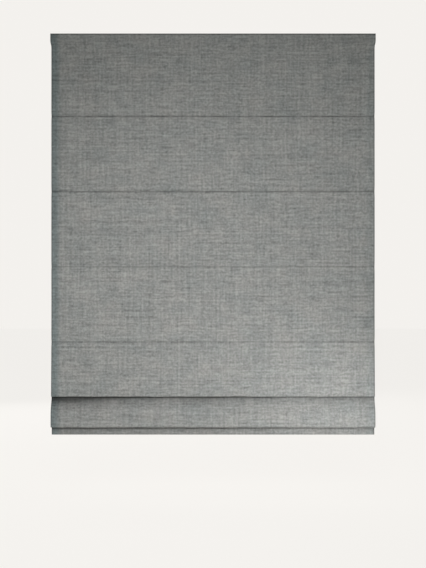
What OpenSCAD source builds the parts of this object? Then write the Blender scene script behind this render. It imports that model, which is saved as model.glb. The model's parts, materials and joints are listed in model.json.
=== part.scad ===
// Roman blind with a cordless spring lift, shown part raised with two folds gathered above the hem.
// The origin lies on the fixing plane, in the middle of the top-fix holes. The room is at -Y.

/* [Blind] */
// Finished width of the fabric panel
blind_w = 1200; // [1000:10:1500]
// Gap between the fixing plane and the top edge of the fabric
head_gap = 0.4; // [0.3:0.1:1.5]
// Extra width of the fabric across the headrail
head_flare = 8; // [2:1:16]
// Drop of the wide head of the fabric
head_drop = 32; // [24:1:40]
// Drop over which the head narrows to the panel
head_taper = 15; // [8:1:30]
// Drop from the top edge to the first rod crease
first_drop = 308; // [280:1:340]
// Length of fabric between two rod creases
crease_pitch = 279; // [265:1:295]

/* [Folds] */
// Lower edge of the upper fold, below the last hung crease
fold_1_drop = 203; // [195:1:212]
// Distance that the upper fold leans into the room
fold_1_lean = 7.65; // [6:0.05:9]
// Bend radius of the upper fold
fold_1_r = 4.8; // [4:0.1:5.4]
// Lower edge of the lower fold, below the last hung crease
fold_2_drop = 316; // [306:1:326]
// Distance that the lower fold stands out into the room
fold_2_lean = 20; // [16:0.5:26]
// Lower edge of the hem, below the last hung crease
hem_drop = 344; // [338:1:356]
// Depth of the hem pocket
hem_depth = 49; // [44:1:54]
// Bend radius over the rod at the top of the lower fold
apex_r = 1.7; // [1.5:0.1:2.2]
// Bend radius at the top of the hem
hem_turn_r = 1.75; // [1.5:0.05:2.2]

/* [Fabric] */
// Thickness of the face fabric
face_t = 0.9; // [0.6:0.1:1.1]
// Thickness of the lining
lining_t = 0.4; // [0.3:0.1:0.6]
// Air between two layers of cloth
layer_gap = 0.1; // [0.05:0.05:0.2]
// Width of the side turn-ins
side_turn = 28; // [22:1:34]
// Distance from the panel's edge to the lining's edge
lining_inset = 13; // [8:1:18]
// Depth of a rod crease
crease_depth = 1.5; // [0.8:0.1:1.8]
// Half height of a rod crease
crease_half = 4; // [3:0.5:5]

/* [Tapes] */
// Height of the hook and loop tapes
tape_h = 22; // [16:1:26]
// Thickness of the hook tape
hook_t = 1.2; // [0.8:0.1:1.8]
// Thickness of the loop tape
loop_t = 1.2; // [0.8:0.1:1.8]

/* [Rods] */
// Diameter of a fibreglass rod
rod_d = 4; // [3:0.5:4.5]
// Thickness of the rod pocket tape
pocket_t = 0.5; // [0.3:0.1:0.8]
// Radial play of a rod in its pocket
rod_play = 0.3; // [0.2:0.05:0.5]
// Drop from a crease to the centre of its rod
rod_drop = 13; // [10:0.5:16]
// Distance from the panel's turn-in to the end of a rod cap
rod_end_gap = 4; // [2:0.5:8]
// Length of a rod cap
rod_cap_len = 10; // [8:1:16]
// Wall of a rod cap
rod_cap_wall = 0.6; // [0.5:0.1:0.7]
// Outside diameter of a cord ring
ring_d = 12; // [11:0.5:13]
// Wire diameter of a cord ring
ring_wire = 2; // [1.6:0.1:2.2]

/* [Headrail] */
// Depth of the headrail from front to back
rail_depth = 40; // [38:1:44]
// Height of the headrail
rail_h = 30; // [30:1:34]
// Wall of the headrail
rail_wall = 1.4; // [1.2:0.1:1.6]
// Outer corner radius of the headrail and its end caps
rail_r = 1; // [0.4:0.1:1.2]
// Width of the slot along the top of the headrail
rail_slot = 26; // [24:1:28]
// Distance that the headrail stops short of the panel's edge
rail_inset = 5; // [2:0.5:10]
// Thickness of an end cap's plate
cap_t = 3; // [2:0.5:4]
// Length of an end cap's plug
cap_plug = 12; // [9:1:16]
// Wall of an end cap's plug
cap_wall = 2; // [1.5:0.1:2.4]

/* [Brackets] */
// Distance from the panel's edge to an outer bracket's centre
bracket_inset = 60; // [45:1:90]
// Width of a bracket
bracket_w = 32; // [26:1:40]
// Thickness of a bracket's sheet
bracket_t = 1.6; // [1.2:0.1:2]
// Height of a bracket's back leg
bracket_leg = 26; // [24:1:30]
// Distance between the top-fix holes of a bracket
top_fix_pitch = 20; // [18:1:24]
// Distance between the face-fix holes of a bracket
face_fix_pitch = 12; // [9:0.5:13]
// Inner bend radius of a bracket
bracket_bend = 0.8; // [0.5:0.1:1.2]
// Diameter of the fixing holes
fix_hole_d = 4.5; // [4:0.1:5]
// Thickness of a swivel lever's tail and cam
lever_t = 1.4; // [1.2:0.1:1.8]
// Length of a lever's tail from the pivot
lever_tail = 21; // [18:0.5:21]
// Width of a lever's tail and cam
lever_w = 12; // [10:0.5:14]
// Diameter of the rivet that a lever turns on
rivet_d = 5; // [4:0.2:6]

/* [Lift] */
// Distance from the panel's edge to an outer lift cord
cord_inset = 150; // [130:1:180]
// Diameter of a lift cord
cord_d = 1.4; // [1:0.1:1.6]
// Radius of a cord spool's drum
drum_r = 8; // [7:0.1:8.2]
// Height of a spool's flanges above the drum
flange_h = 2.5; // [2:0.1:2.6]
// Winding length of a spool
wind_len = 30; // [26:1:34]
// Radius of a spool's journals
journal_r = 4.5; // [4.2:0.1:5]
// Turns of cord left on each spool
turns = 4; // [2:1:6]
// Height of the drive shaft above the floor of the headrail
shaft_h = 12.5; // [12.2:0.1:13]
// Width across the flats of the drive shaft
shaft_af = 6; // [5:0.5:6.5]
// Diameter of the cord nozzles
nozzle_d = 6; // [5:0.2:7]
// Bore of the cord nozzles
nozzle_bore = 3; // [2.4:0.1:3.4]

/* [Spring motor] */
// Length of the spring motor
motor_len = 84; // [70:1:90]
// Wall of the motor's base and cover
motor_wall = 1.2; // [1:0.1:1.5]
// Outer radius of the spring wound on the output drum
out_coil_r = 8; // [7.6:0.1:8.2]
// Outer radius of the spring wound on the storage drum
store_coil_r = 5; // [4.6:0.1:5.2]
// Thickness of the flat spring
spring_t = 0.3; // [0.2:0.05:0.4]

/* [Bottom bar] */
// Thickness of the bottom bar
bar_t = 4; // [3:0.5:5]
// Height of the bottom bar
bar_h = 26; // [20:1:30]
// Distance from the panel's edge to the bar's end
bar_inset = 10; // [7:1:20]

/* [Clearances] */
// Air between a lever and what it passes
lever_gap = 0.2; // [0.15:0.05:0.3]
// Air between a piece and the cloth or tape that it lies against
seat_gap = 0.2; // [0.15:0.05:0.3]
// Radial play of a journal or rivet in its bore
run_play = 0.1; // [0.08:0.02:0.2]
// Air between the bottom bar and the hem
hem_play = 0.65; // [0.5:0.05:0.9]

/* [Hidden] */
$fn = 48;
eps = 0.01;
through = 1;
hung_rods = 4;

// Headrail places
fabric_top = -head_gap;
rail_top = -(bracket_t + lever_t + 2 * lever_gap);
rail_bottom = rail_top - rail_h;
rail_floor = rail_bottom + rail_wall;
lip_under = rail_top - rail_wall;
rail_front = -rail_depth / 2;
inner_y = rail_depth / 2 - rail_wall;
rail_end = blind_w / 2 - rail_inset;
rail_len = 2 * (rail_end - cap_t);

// Cloth layers, as distances back from the middle of the face fabric
lining_near = face_t / 2 + layer_gap;
lining_far = lining_near + lining_t;
turn_near = lining_far + layer_gap;
turn_far = turn_near + face_t;
face_y = rail_front - hook_t - loop_t - lining_far;
lining_back = face_y + lining_far;
edge_bulge = 0.05;
edge_lap = 0.3;

// Rods, rings and the line of the lift cords
bore_r = rod_d / 2 + rod_play;
pocket_r = bore_r + pocket_t;
rod_y = lining_back + seat_gap + pocket_r;
pocket_back = rod_y + pocket_r;
cord_y = pocket_back + seat_gap + ring_d / 2;
rod_half = blind_w / 2 - side_turn - rod_end_gap;
pocket_half = rod_half - rod_cap_len;
ring_r = (ring_d - ring_wire) / 2;

// Drive line
cord_r = cord_d / 2;
shaft_y = cord_y + drum_r + run_play + cord_r;
shaft_z = rail_floor + shaft_h;
cord_outer = blind_w / 2 - cord_inset;
cord_xs = [for (i = [0:3]) cord_outer * (2 * i / 3 - 1)];
spool_wall = 1.5;
spool_lead = 5;
journal_len = 5;
shoulder_h = 1.5;
spool_start = -spool_lead;
spool_end = wind_len + spool_wall;
turn_pitch = cord_d + run_play;
bush_r = 5;
bush_len = 6;
bush_wall = 2.5;

// Brackets
bracket_x = blind_w / 2 - bracket_inset;
bracket_xs = [-bracket_x, 0, bracket_x];
back_leg_y = rail_depth / 2 + 0.5;
cam_top = lip_under - lever_gap;
cam_half = inner_y - 1.6;
hub_r = 5.5;
head_t = 0.8;
head_r = rivet_d / 2 + 1.5;

// Spring motor
motor_x = (cord_xs[2] + cord_xs[3]) / 2;
motor_half = motor_len / 2;
drum_gap = 0.4;
store_y = shaft_y + out_coil_r + store_coil_r + drum_gap;
out_core_r = 5.2;
store_core_r = 3;
store_pin_r = 2;
drum_flange_t = 1.2;
coil_half = motor_half - 2 * motor_wall - drum_flange_t - 2 * drum_gap;
cover_half_y = inner_y - seat_gap;
cover_top = shaft_z + drum_r + flange_h + 0.6;

// Gathered folds
last_drop = first_drop + (hung_rods - 1) * crease_pitch;
fold_1_leg = fold_1_drop - face_t / 2 - fold_1_r;
fold_1_c = [face_y - fold_1_lean + fold_1_r, drop_z(last_drop + fold_1_leg)];
back_leg = crease_pitch - fold_1_leg - PI * fold_1_r - PI * apex_r / 2;
apex_c = [rod_y, fold_1_c[1] + back_leg];
hem_r = bar_t / 2 + hem_play + face_t / 2;
hem_y = pocket_back - face_t / 2 - 2 * hem_r;
hem_c = [hem_y + hem_r, drop_z(last_drop + hem_drop - face_t / 2 - hem_r)];
hem_top_c = [hem_y - hem_turn_r, drop_z(last_drop + hem_drop - hem_depth)];
fold_2_y = face_y - fold_2_lean;
fold_2_r = (hem_y - 2 * hem_turn_r - fold_2_y) / 2;
fold_2_c = [fold_2_y + fold_2_r, drop_z(last_drop + fold_2_drop - face_t / 2 - fold_2_r)];
swing_top = drop_z(last_drop + fold_1_drop - 8);
swing_end = fold_2_c[1] + 37;
swing_pull = 35;
rod_5_z = apex_c[1] + apex_r + lining_far + seat_gap + pocket_r;
hem_ring_z = hem_top_c[1] - 4;
cord_end_top = hem_ring_z - ring_wire / 2 - seat_gap;
cord_end_r = ring_d / 2 - 1;
cord_end_len = 11;
cord_tail = 2;

function drop_z(d) = fabric_top - d;
function crease_z(k) = drop_z(first_drop + (k - 1) * crease_pitch);
function rod_z(k) = k > hung_rods ? rod_5_z : crease_z(k) - rod_drop;
function flip(list) = [for (i = [len(list) - 1:-1:0]) list[i]];
function unit(v) = v / norm(v);

// Points on an arc from one angle to another
function arc(c, r, from, to, steps) = [
    for (i = [0:steps]) let (a = from + (to - from) * i / steps) c + r * [cos(a), sin(a)]
];

// Points on a cubic curve
function curve(a, b, c, d, steps) = [
    for (i = [0:steps]) let (t = i / steps, s = 1 - t)
        s * s * s * a + 3 * s * s * t * b + 3 * s * t * t * c + t * t * t * d
];

// The path moved back by a distance, with mitred corners
function moved_back(p, by) = [
    for (i = [0:len(p) - 1]) let (
        u = unit(p[max(i, 1)] - p[max(i, 1) - 1]),
        w = unit(p[min(i, len(p) - 2) + 1] - p[min(i, len(p) - 2)])
    ) p[i] + by / (1 + u * w) * [-u[1] - w[1], u[0] + w[0]]
];

// Outline of a flat bar with round edges, from the centre of its lower edge
function flat_bar(c, t, h) = concat(
    arc(c, t / 2, 180, 360, 8),
    arc(c + [0, h - t], t / 2, 0, 180, 8)
);

// Middle of the face fabric in the Y-Z plane, from the first crease to the top of the hem
crease_path = [
    for (k = [1:hung_rods], s = [1, 0, -1])
        [face_y + (s == 0 ? crease_depth : 0), crease_z(k) + s * crease_half]
];
top_edge = [face_y, fabric_top];
panel_path = concat(
    crease_path,
    arc(fold_1_c, fold_1_r, 180, 360, 10),
    arc(apex_c, apex_r, 180, 0, 8),
    curve(
        [rod_y + apex_r, swing_top], [rod_y + apex_r, swing_top - swing_pull],
        [fold_2_y, swing_end + swing_pull], [fold_2_y, swing_end], 10
    ),
    arc(fold_2_c, fold_2_r, 180, 360, 10),
    arc(hem_top_c, hem_turn_r, 180, 0, 8)
);
hem_path = concat(
    arc(hem_c, hem_r, 180, 360, 8),
    [[hem_y + 2 * hem_r, hem_top_c[1] - 1]]
);
edge_path = concat([top_edge - [0, edge_lap]], panel_path, [[hem_y, hem_top_c[1] - edge_lap]]);

// Front outline of the cloth, inset at its sides and longer at its ends
module outline(inset, over) {
    top = fabric_top + over;
    bottom = hem_c[1] - hem_r - face_t - over;
    head = (blind_w + head_flare) / 2 - inset;
    side = blind_w / 2 - inset;
    right = [
        [head, top], [head, drop_z(head_drop)], [side, drop_z(head_drop + head_taper)], [side, bottom]
    ];
    polygon(concat(right, [for (p = flip(right)) [-p[0], p[1]]]));
}

// A plane figure in X-Z, made into a block that spans the cloth
module through_cloth() {
    rotate([90, 0, 0]) linear_extrude(4 * rail_depth, center = true) children();
}

// A plane figure in Y-Z, made into a length along X
module along_x(length, center = true) {
    rotate([90, 0, 90]) linear_extrude(length, center = center) children();
}

// One layer of cloth between two distances from the path
module layer(path, near, far) {
    along_x(blind_w + 2 * head_flare)
        polygon(concat(moved_back(path, near), flip(moved_back(path, far))));
}

module trimmed(inset) {
    intersection() {
        children();
        through_cloth() outline(inset, through);
    }
}

// Strips along both side edges, between two distances from the edge
module side_strips(from, to) {
    intersection() {
        children();
        through_cloth() difference() {
            outline(from, through);
            outline(to, 2 * through);
        }
    }
}

// The panel and hem, the folded side edges and the turn-ins behind them
module face_fabric() {
    color("#8d9593") union() {
        trimmed(face_t / 2) layer(concat([top_edge], panel_path, hem_path), -face_t / 2, face_t / 2);
        side_strips(0, face_t)
            layer(edge_path, -face_t / 2 - edge_bulge, turn_far + edge_bulge);
        side_strips(face_t / 2, side_turn)
            layer(concat([top_edge - [0, 2 * edge_lap]], panel_path), turn_near, turn_far);
    }
}

module lining() {
    color("#e6e2d8") trimmed(lining_inset) layer(concat([top_edge], panel_path), lining_near, lining_far);
}

// A tape along the headrail, with its back face at y
module tape(y, t, length) {
    translate([0, y - t / 2, rail_top - rail_h / 2]) cube([length, t, tape_h], center = true);
}

module hook_tape() {
    color("white") tape(rail_front, hook_t, 2 * rail_end);
}

module loop_tape() {
    color("#f0efe9") tape(rail_front - hook_t, loop_t, blind_w - 2 * (side_turn + seat_gap));
}

module headrail() {
    half = rail_depth / 2;
    slot = rail_slot / 2;
    right = concat(
        arc([half - rail_r, rail_bottom + rail_r], rail_r, -90, 0, 4),
        arc([half - rail_r, rail_top - rail_r], rail_r, 0, 90, 4),
        [[slot, rail_top], [slot, lip_under], [inner_y, lip_under], [inner_y, rail_floor]]
    );
    color("#f2f2ef") difference() {
        along_x(rail_len) polygon(concat(right, [for (p = flip(right)) [-p[0], p[1]]]));
        for (x = cord_xs)
            translate([x, cord_y, rail_bottom - through])
                cylinder(d = nozzle_d + 2 * seat_gap, h = rail_wall + 2 * through);
    }
}

// End cap at the left, with its plug and the bearing of the shaft
module end_cap() {
    half = rail_depth / 2;
    plug_y = inner_y - seat_gap;
    plug_h = lip_under - rail_floor - 2 * seat_gap;
    plug_z = (lip_under + rail_floor) / 2;
    inside = cap_t + cap_plug;
    difference() {
        union() {
            along_x(cap_t, center = false) polygon(concat(
                arc([rail_r - half, rail_bottom + rail_r], rail_r, 180, 270, 4),
                arc([half - rail_r, rail_bottom + rail_r], rail_r, 270, 360, 4),
                arc([half - rail_r, rail_top - rail_r], rail_r, 0, 90, 4),
                arc([rail_r - half, rail_top - rail_r], rail_r, 90, 180, 4)
            ));
            translate([eps, 0, plug_z]) difference() {
                translate([0, -plug_y, -plug_h / 2]) cube([inside - eps, 2 * plug_y, plug_h]);
                translate([cap_t, cap_wall - plug_y, cap_wall - plug_h / 2])
                    cube([inside, 2 * (plug_y - cap_wall), plug_h - 2 * cap_wall]);
            }
            translate([eps, shaft_y, shaft_z]) rotate([0, 90, 0])
                cylinder(r = bush_r + bush_wall, h = cap_t + bush_len - eps);
        }
        translate([cap_t, shaft_y, shaft_z]) rotate([0, 90, 0])
            cylinder(r = bush_r + run_play, h = inside);
    }
}

module end_cap_left() {
    color("#e9e9e6") translate([-rail_end, 0, 0]) end_cap();
}

module end_cap_right() {
    color("#e9e9e6") mirror([1, 0, 0]) translate([-rail_end, 0, 0]) end_cap();
}

// Steel angle with its fixing holes and the hole of the rivet
module bracket(x) {
    back = back_leg_y + bracket_t;
    bend = bracket_bend + bracket_t;
    bend_c = [back - bend, -bend];
    profile = concat(
        [[rail_front, -bracket_t], [rail_front, 0]], arc(bend_c, bend, 90, 0, 6),
        [[back, -bracket_leg], [back_leg_y, -bracket_leg]], arc(bend_c, bracket_bend, 0, 90, 6)
    );
    color("silver") translate([x, 0, 0]) difference() {
        along_x(bracket_w) polygon(profile);
        for (s = [-1, 1]) {
            translate([0, s * top_fix_pitch / 2, -bracket_t - through])
                cylinder(d = fix_hole_d, h = bracket_t + 2 * through);
            translate([0, back_leg_y - through, s * face_fix_pitch / 2 - bracket_leg / 2]) rotate([-90, 0, 0])
                cylinder(d = fix_hole_d, h = bracket_t + 2 * through);
        }
        translate([0, 0, -bracket_t - through])
            cylinder(d = rivet_d + 2 * run_play, h = bracket_t + 2 * through);
    }
}

module bracket_rivets() {
    cam_bottom = cam_top - lever_t;
    color("#b8b8b8") for (x = bracket_xs) translate([x, 0, 0]) {
        translate([0, 0, cam_bottom - lever_gap]) cylinder(d = rivet_d, h = lever_gap - cam_bottom);
        translate([0, 0, cam_bottom - lever_gap - head_t]) cylinder(r = head_r, h = head_t + eps);
    }
}

// Swivel lever: a tail under the bracket, a hub in the slot and a cam under the headrail's lips
module bracket_lever(x) {
    tail_z = rail_top + lever_gap;
    cam_z = cam_top - lever_t;
    round_r = lever_w / 2;
    color("#d9d9d4") translate([x, 0, 0]) difference() {
        union() {
            translate([0, -round_r, tail_z]) cube([lever_tail - round_r, lever_w, lever_t]);
            translate([lever_tail - round_r, 0, tail_z]) cylinder(r = round_r, h = lever_t);
            translate([0, 0, tail_z]) cylinder(r = round_r, h = lever_t);
            translate([0, 0, cam_z + eps]) cylinder(r = hub_r, h = tail_z - cam_z);
            translate([0, 0, cam_z]) intersection() {
                translate([-round_r, -inner_y, 0]) cube([lever_w, 2 * inner_y, lever_t]);
                cylinder(r = cam_half, h = lever_t);
            }
        }
        translate([0, 0, cam_z - through]) cylinder(d = rivet_d + 2 * run_play, h = rail_h);
    }
}

// Snap-in seat for one spool, with the nozzle that guides the cord
module spool_cradle(x) {
    wall = 3.5;
    floor_t = 1.2;
    rib_h = 5;
    half_y = inner_y - 1.6;
    cheek_half = journal_r + 3;
    cheek_top = shaft_z + journal_r - 1;
    mouth = 2 * journal_r - 0.8;
    cheeks = [spool_start - seat_gap - wall, spool_end + seat_gap];
    first = cheeks[0] - 2;
    last = cheeks[1] + wall + 2;
    color("#f4f3ee") translate([x, 0, 0]) difference() {
        union() {
            translate([first, -half_y, rail_floor]) cube([last - first, 2 * half_y, floor_t]);
            for (y = [-half_y, half_y - floor_t])
                translate([first, y, rail_floor]) cube([last - first, floor_t, rib_h]);
            for (c = cheeks)
                translate([c, shaft_y - cheek_half, rail_floor])
                    cube([wall, 2 * cheek_half, cheek_top - rail_floor]);
            translate([0, cord_y, rail_bottom - 3]) cylinder(d = nozzle_d, h = rail_wall + 3 + eps);
        }
        translate([first - through, shaft_y, shaft_z]) rotate([0, 90, 0])
            cylinder(r = journal_r + run_play, h = last - first + 2 * through);
        translate([first - through, shaft_y - mouth / 2, shaft_z])
            cube([last - first + 2 * through, mouth, rail_h]);
        translate([0, cord_y, rail_bottom - 3 - through])
            cylinder(d = nozzle_bore, h = 3 + rail_wall + floor_t + 2 * through);
    }
}

// A round profile of [radius, place] points, turned about the shaft's axis
module turned_on_shaft(profile) {
    translate([0, shaft_y, shaft_z]) rotate([0, 90, 0]) rotate_extrude() polygon(profile);
}

// The shaft's hexagon along X, with play all round
module hexagon(from, to, play) {
    translate([from, shaft_y, shaft_z]) rotate([0, 90, 0])
        cylinder(d = (shaft_af + 2 * play) / cos(30), h = to - from, $fn = 6);
}

module cord_spool(x) {
    flange_r = drum_r + flange_h;
    drum_start = spool_start + spool_wall;
    drum_end = spool_end - spool_wall;
    color("#f7f7f4") translate([x, 0, 0]) difference() {
        turned_on_shaft([
            [0, spool_start - journal_len], [journal_r, spool_start - journal_len], [journal_r, spool_start],
            [flange_r, spool_start], [flange_r, drum_start],
            [drum_r + shoulder_h, drum_start], [drum_r, -cord_d],
            [drum_r, drum_end], [flange_r, drum_end], [flange_r, spool_end],
            [journal_r, spool_end], [journal_r, spool_end + journal_len], [0, spool_end + journal_len]
        ]);
        hexagon(spool_start - journal_len - through, spool_end + journal_len + through, run_play);
    }
}

module cord_turns() {
    color("#efece4") for (x = cord_xs, i = [1:turns])
        translate([x + i * turn_pitch, shaft_y, shaft_z]) rotate([0, 90, 0])
            rotate_extrude() translate([drum_r + run_play + cord_r, 0]) circle(d = cord_d);
}

module drive_shaft() {
    color("#a9abad") hexagon(-rail_end + cap_t + seat_gap, rail_end - cap_t - seat_gap, 0);
}

module shaft_bushes() {
    color("#f4f3ee") for (s = [0, 1]) mirror([s, 0, 0]) difference() {
        translate([-rail_end + cap_t + seat_gap, shaft_y, shaft_z]) rotate([0, 90, 0])
            cylinder(r = bush_r, h = bush_len);
        hexagon(-rail_end, bush_len + through - rail_end + cap_t + seat_gap, run_play);
    }
}

module spring_motor_base() {
    wall = 2 * motor_wall;
    cheek_top = shaft_z + store_pin_r + 2.5;
    color("#5c6063") translate([motor_x, 0, 0]) difference() {
        union() {
            translate([-motor_half, -cover_half_y, rail_floor])
                cube([motor_len, 2 * cover_half_y, motor_wall]);
            for (s = [0, 1]) mirror([s, 0, 0])
                translate([-motor_half, -inner_y / 2, rail_floor])
                    cube([wall, inner_y / 2 + cover_half_y - motor_wall - seat_gap, cheek_top - rail_floor]);
        }
        translate([-motor_len, shaft_y, shaft_z]) rotate([0, 90, 0])
            cylinder(r = out_core_r + run_play, h = 2 * motor_len);
        translate([-motor_len, store_y, shaft_z]) rotate([0, 90, 0])
            cylinder(r = store_pin_r + run_play, h = 2 * motor_len);
    }
}

module spring_motor_cover() {
    bevel = 4;
    foot = rail_floor + motor_wall;
    outer = [
        [cover_half_y, foot], [cover_half_y, cover_top - bevel], [cover_half_y - bevel, cover_top]
    ];
    inner_half = cover_half_y - motor_wall;
    inner_top = cover_top - motor_wall;
    inner = [
        [inner_half, foot], [inner_half, inner_top - bevel], [inner_half - bevel, inner_top]
    ];
    right = concat(outer, [for (p = flip(outer)) [-p[0], p[1]]]);
    left = concat([for (p = inner) [-p[0], p[1]]], flip(inner));
    color("#6b7073") translate([motor_x, 0, 0]) along_x(motor_len) polygon(concat(right, left));
}

// A flanged drum centred on the motor, with journals in the motor's cheeks
module motor_drum(core_r, flange_r, pin_r) {
    rotate([0, 90, 0]) rotate_extrude() polygon([
        [0, -motor_half], [pin_r, -motor_half], [pin_r, -coil_half - drum_flange_t],
        [flange_r, -coil_half - drum_flange_t], [flange_r, -coil_half], [core_r, -coil_half],
        [core_r, coil_half], [flange_r, coil_half], [flange_r, coil_half + drum_flange_t],
        [pin_r, coil_half + drum_flange_t], [pin_r, motor_half], [0, motor_half]
    ]);
}

module output_drum() {
    color("#f4f3ee") difference() {
        translate([motor_x, shaft_y, shaft_z]) motor_drum(out_core_r - seat_gap, out_coil_r, out_core_r);
        hexagon(motor_x - motor_len, motor_x + motor_len, run_play);
    }
}

module storage_drum() {
    color("#f4f3ee") translate([motor_x, store_y, shaft_z])
        motor_drum(store_core_r, store_coil_r, store_pin_r);
}

// Flat spring: a coil on each drum and the strip that runs over both
module motor_spring() {
    length = 2 * (coil_half - seat_gap);
    over_out = [shaft_y, shaft_z + out_coil_r];
    over_store = [store_y, shaft_z + store_coil_r];
    sink = [0, -spring_t];
    color("#9da3a8") translate([motor_x, 0, 0]) union() {
        along_x(length) translate([shaft_y, shaft_z]) difference() {
            circle(r = out_coil_r);
            circle(r = out_core_r + seat_gap);
        }
        along_x(length) translate([store_y, shaft_z]) difference() {
            circle(r = store_coil_r);
            circle(r = store_core_r + seat_gap);
        }
        along_x(length) polygon([over_out, over_out + sink, over_store + sink, over_store]);
    }
}

module lift_cord(x) {
    bottom = cord_end_top - cord_end_len + cord_tail;
    color("#efece4") translate([x, cord_y, bottom]) cylinder(d = cord_d, h = shaft_z - bottom);
}

module rod(k) {
    color("#d8d3c2") translate([-rod_half + rod_cap_wall, rod_y, rod_z(k)]) rotate([0, 90, 0])
        cylinder(d = rod_d, h = 2 * (rod_half - rod_cap_wall));
}

// Pocket tape: a loop of tape round the rod, sewn at the crease above it
module rod_pocket(k) {
    c = [rod_y, rod_z(k)];
    seam_y = lining_back + crease_depth + seat_gap + pocket_t / 2;
    seam = [[seam_y + pocket_t, crease_z(k) - pocket_t], [seam_y - pocket_t / 2, crease_z(k) - pocket_t]];
    hung = concat(arc(c, pocket_r, 180, 370, 20), seam);
    loop = k > hung_rods ? arc(c, pocket_r, 0, 345, 23) : hung;
    color("#e2ded3") difference() {
        along_x(2 * (pocket_half - seat_gap)) polygon(loop);
        translate([-rod_half, rod_y, rod_z(k)]) rotate([0, 90, 0]) cylinder(r = bore_r, h = 2 * rod_half);
    }
}

module rod_caps(k) {
    color("#f2f1ec") for (s = [0, 1]) mirror([s, 0, 0])
        translate([-rod_half, rod_y, rod_z(k)]) rotate([0, 90, 0]) difference() {
            cylinder(d = rod_d + 2 * rod_cap_wall, h = rod_cap_len);
            translate([0, 0, rod_cap_wall]) cylinder(d = rod_d, h = rod_cap_len);
        }
}

// A ring on each lift cord at one height
module cord_rings(z) {
    color("#f6f5ef") for (x = cord_xs) translate([x, cord_y, z])
        rotate_extrude() translate([ring_r, 0]) circle(d = ring_wire);
}

module bottom_bar() {
    color("#c9ccce") along_x(2 * (blind_w / 2 - bar_inset)) polygon(flat_bar(hem_c, bar_t, bar_h));
}

module bottom_bar_caps() {
    cap_len = 3;
    color("#f2f1ec") for (s = [0, 1]) mirror([s, 0, 0])
        translate([blind_w / 2 - bar_inset, 0, 0])
            along_x(cap_len, center = false) polygon(flat_bar(hem_c, bar_t, bar_h));
}

// Beads that hold the knotted ends of the lift cords under the hem's rings
module cord_ends() {
    waist = cord_end_r - 1.5;
    color("#f6f5ef") for (x = cord_xs) translate([x, cord_y, cord_end_top - cord_end_len])
        rotate_extrude() polygon([
            [cord_r + run_play, 0], [waist, 0], [cord_end_r, 3], [cord_end_r, cord_end_len - 3],
            [waist, cord_end_len], [cord_r + run_play, cord_end_len]
        ]);
}

headrail();
end_cap_left();
end_cap_right();
hook_tape();
loop_tape();
face_fabric();
lining();
bracket(bracket_xs[0]);  // bracket_left
bracket(bracket_xs[1]);  // bracket_middle
bracket(bracket_xs[2]);  // bracket_right
bracket_rivets();
bracket_lever(bracket_xs[0]);  // bracket_lever_left
bracket_lever(bracket_xs[1]);  // bracket_lever_middle
bracket_lever(bracket_xs[2]);  // bracket_lever_right
for (i = [1:4]) {
    spool_cradle(cord_xs[i - 1]);
    cord_spool(cord_xs[i - 1]);
    lift_cord(cord_xs[i - 1]);
}
spring_motor_base();
spring_motor_cover();
motor_spring();
drive_shaft();
output_drum();
cord_turns();
shaft_bushes();
storage_drum();
for (k = [1:5]) {
    rod(k);
    rod_pocket(k);
    cord_rings(rod_z(k));
    rod_caps(k);
}
bottom_bar();
bottom_bar_caps();
cord_rings(hem_ring_z);  // hem_rings
cord_ends();
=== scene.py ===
"""Roman blind: cloth, lift cords and finishes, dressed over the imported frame.

The cloth is swept along the same section as the solids. It is cut at the rods and at the lines where it
folds as the blind rises, and each length of it rides on the rod that carries it.
"""

import json
import logging
import math
from dataclasses import dataclass, field
from typing import Any, ClassVar, Iterable, Mapping, Sequence

import bpy
import numpy as np
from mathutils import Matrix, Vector


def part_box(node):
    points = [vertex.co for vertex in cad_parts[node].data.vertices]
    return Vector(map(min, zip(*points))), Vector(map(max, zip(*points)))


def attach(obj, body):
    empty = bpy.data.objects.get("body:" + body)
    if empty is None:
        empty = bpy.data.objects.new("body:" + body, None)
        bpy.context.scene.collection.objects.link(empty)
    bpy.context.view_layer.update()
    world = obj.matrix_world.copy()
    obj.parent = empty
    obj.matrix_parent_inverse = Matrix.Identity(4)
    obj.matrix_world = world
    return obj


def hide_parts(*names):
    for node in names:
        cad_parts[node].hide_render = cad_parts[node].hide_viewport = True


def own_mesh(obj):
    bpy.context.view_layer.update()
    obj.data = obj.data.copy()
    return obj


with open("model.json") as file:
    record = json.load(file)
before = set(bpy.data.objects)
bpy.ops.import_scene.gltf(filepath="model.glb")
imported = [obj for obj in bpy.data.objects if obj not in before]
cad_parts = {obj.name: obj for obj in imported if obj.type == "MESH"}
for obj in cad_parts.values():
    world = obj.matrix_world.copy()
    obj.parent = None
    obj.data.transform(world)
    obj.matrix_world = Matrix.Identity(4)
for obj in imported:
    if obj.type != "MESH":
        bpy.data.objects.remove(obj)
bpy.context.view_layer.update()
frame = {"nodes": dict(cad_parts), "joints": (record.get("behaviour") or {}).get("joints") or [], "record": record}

LOG = logging.getLogger("roman_blind")
MM = 0.001
CLOTH_MAP = "cloth"
# Map of the painted shade in the creases and under the folds.
SHADE_MAP = "crease"
LIFT_JOINT = "lift"
ROOT_BODY = "root"
BOTTOM_BODY = "bottom"
HUNG_RODS = 4
PANEL_HALF = 600 * MM

Colour = tuple[float, float, float]
Point = tuple[float, float]


def srgb(red: float, green: float, blue: float) -> Colour:
    """Turn screen colour levels into linear ones.

    Args:
        red: Red level from 0 to 255.
        green: Green level from 0 to 255.
        blue: Blue level from 0 to 255.

    Returns:
        The linear colour.
    """
    shares = (level / 255 for level in (red, green, blue))
    first, second, third = (s / 12.92 if s <= 0.04045 else ((s + 0.055) / 1.055) ** 2.4 for s in shares)
    return first, second, third


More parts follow.
